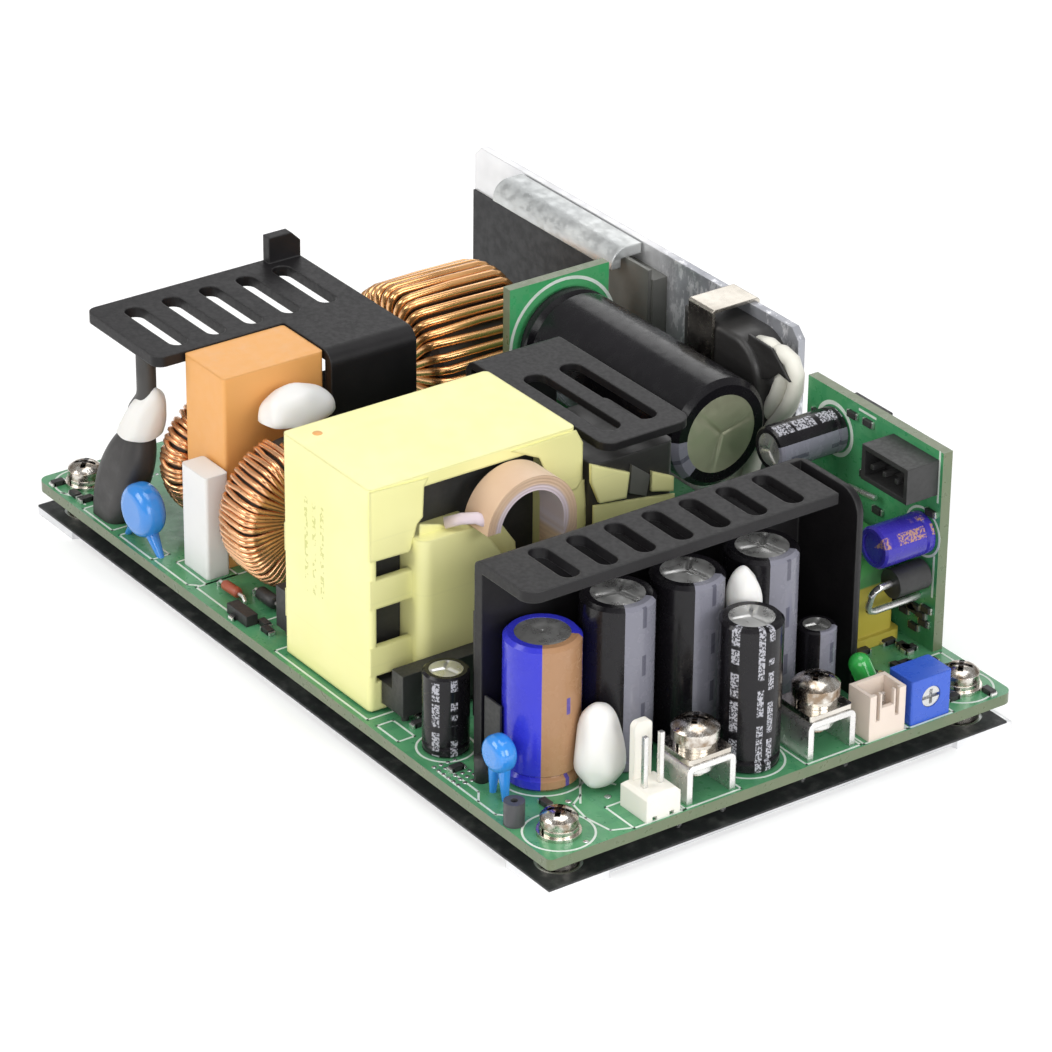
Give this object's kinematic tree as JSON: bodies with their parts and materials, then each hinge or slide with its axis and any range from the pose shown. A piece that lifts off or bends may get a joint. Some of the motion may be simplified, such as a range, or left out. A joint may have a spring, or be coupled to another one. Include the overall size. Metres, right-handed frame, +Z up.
{
  "type": "open-frame power supply",
  "caption": "Open-frame mains power supply: green board with transformer, chokes, capacitors and folded heatsinks on an aluminium base with one upright wall.",
  "frame": {"origin": "middle of the four corner fixing holes, on the underside of the base plate", "axes": "+X along the board to the output terminals, +Y to the upright wall, +Z up"},
  "size_m": [0.127, 0.0784, 0.04],
  "materials": {
    "bare aluminium": "brushed, scuffed at the wall",
    "black film": "smooth, matt",
    "green board": "solder resist with traces",
    "nickel": "plated",
    "rough aluminium": "extruded, rough",
    "grey package": "moulded with a metal shim",
    "black tape": "wrapped tape",
    "clip steel": "bright strip",
    "white sleeve": "soft tube",
    "coated core": "epoxy coat",
    "thick copper wire": "enamelled",
    "fine copper wire": "enamelled",
    "black heatsink": "black anodised, matt",
    "black package": "moulded",
    "orange case": "cast case",
    "white case": "cast case",
    "black sleeve": "shrunk sleeve, creased",
    "blue dip": "dipped, glossy",
    "white plastic": "moulded",
    "beige plastic": "moulded",
    "tinned pin": "tinned",
    "fuse body": "ceramic tube with plated caps",
    "yellow tape": "wrapped film tape",
    "wound lead": "served strands",
    "black capacitor sleeve": "shrunk sleeve",
    "blue capacitor sleeve": "shrunk sleeve with a bronze stripe",
    "ferrite": "pressed",
    "tinned frame": "tinned strip",
    "trimmer blue": "moulded",
    "rotor white": "moulded",
    "green lamp": "tinted, glossy"
  },
  "bodies": {
    "supply": {"base_bracket": "bare aluminium", "black_lead_sleeve": "black sleeve", "board_capacitor": "black capacitor sleeve", "board_diode": "black package", "board_header": "black package", "board_standoffs": "nickel", "boost_choke_core": "coated core", "boost_choke_winding": "thick copper wire", "bridge_rectifier": "black package", "bronze_capacitor": "blue capacitor sleeve", "bulk_capacitor": "black capacitor sleeve", "capacitor_board": "green board", "clamp_bar": "rough aluminium", "clamp_screws": "nickel", "control_socket": "beige plastic", "corner_screws": "nickel", "daughter_board": "green board", "disc_capacitor": "blue dip", "ferrite_bead": "ferrite", "film_capacitor": "orange case", "flat_washers": "nickel", "front_capacitor": "black capacitor sleeve", "header_pins": "tinned pin", "input_fuse": "fuse body", "input_header": "white plastic", "input_heatsink": "black heatsink", "insulating_sheet": "black film", "left_choke_core": "coated core", "left_choke_winding": "fine copper wire", "main_board": "green board", "middle_heatsink": "black heatsink", "output_capacitors": "black capacitor sleeve", "output_header": "white plastic", "output_heatsink": "black heatsink", "output_rectifiers": "black package", "power_lamp": "green lamp", "rear_capacitor": "black capacitor sleeve", "right_choke_core": "coated core", "right_choke_winding": "fine copper wire", "sleeved_varistor": "black sleeve", "small_board_parts": "black package", "small_disc_capacitor": "blue dip", "spring_clip": "clip steel", "spring_washers": "nickel", "standby_transformer": "yellow tape", "start_capacitor": "black capacitor sleeve", "taped_choke": "yellow tape", "taped_device": "black tape", "terminal_frames": "tinned frame", "terminal_plates": "nickel", "terminal_screws": "nickel", "transformer_bobbin": "black package", "transformer_body": "yellow tape", "transformer_lead": "wound lead", "trimmer_body": "trimmer blue", "violet_capacitor": "blue capacitor sleeve", "wall_transistors": "grey package", "white_box_capacitor": "white case", "white_lead_sleeves": "white sleeve"},
    "trimmer_rotor": {"trimmer_rotor": "rotor white"}
  },
  "joints": [
    {"name": "trimmer_turn", "type": "hinge", "parent": "supply", "child": "trimmer_rotor", "pos_m": [0.062, 0.02405, 0.0093], "axis": [1, 0, 0], "range_deg": [-125, 125]}
  ]
}
